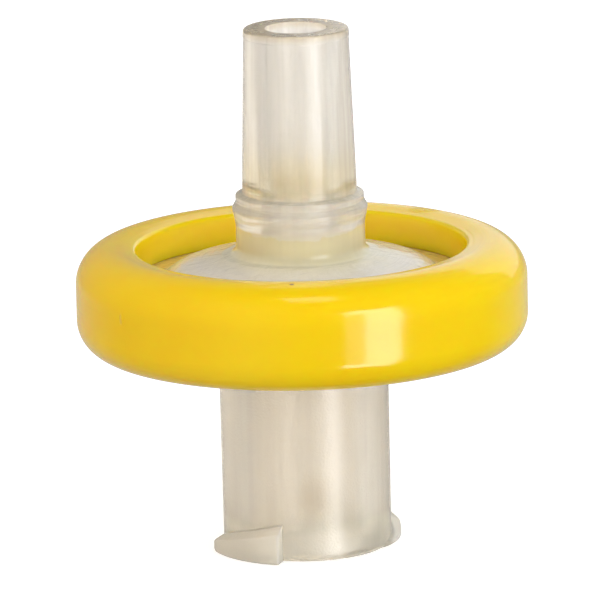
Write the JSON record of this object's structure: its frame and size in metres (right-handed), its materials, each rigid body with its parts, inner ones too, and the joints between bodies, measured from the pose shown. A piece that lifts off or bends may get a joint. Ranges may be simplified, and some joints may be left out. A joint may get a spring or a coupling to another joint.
{
  "type": "syringe filter",
  "caption": "Small round syringe filter: a translucent female luer-lock inlet below, a yellow ring round the membrane housing and a slim tapered luer outlet above.",
  "frame": {"origin": "centre of the inlet mouth, which is the bottom of the part", "axes": "+Z along the flow axis from the inlet mouth up to the outlet tip; -Y is the side that faces the camera, with one lock lug at its left"},
  "size_m": [0.0176, 0.0176, 0.0204],
  "materials": {
    "natural_polypropylene": "translucent natural polypropylene, satin as moulded",
    "yellow_polypropylene": "smooth glossy moulded yellow polypropylene, slightly translucent at its edges",
    "membrane": "fine white porous membrane"
  },
  "bodies": {
    "root": {"inlet_housing": "natural_polypropylene", "filter_membrane": "membrane", "outlet_housing": "natural_polypropylene", "overmould_ring": "yellow_polypropylene"}
  },
  "joints": []
}
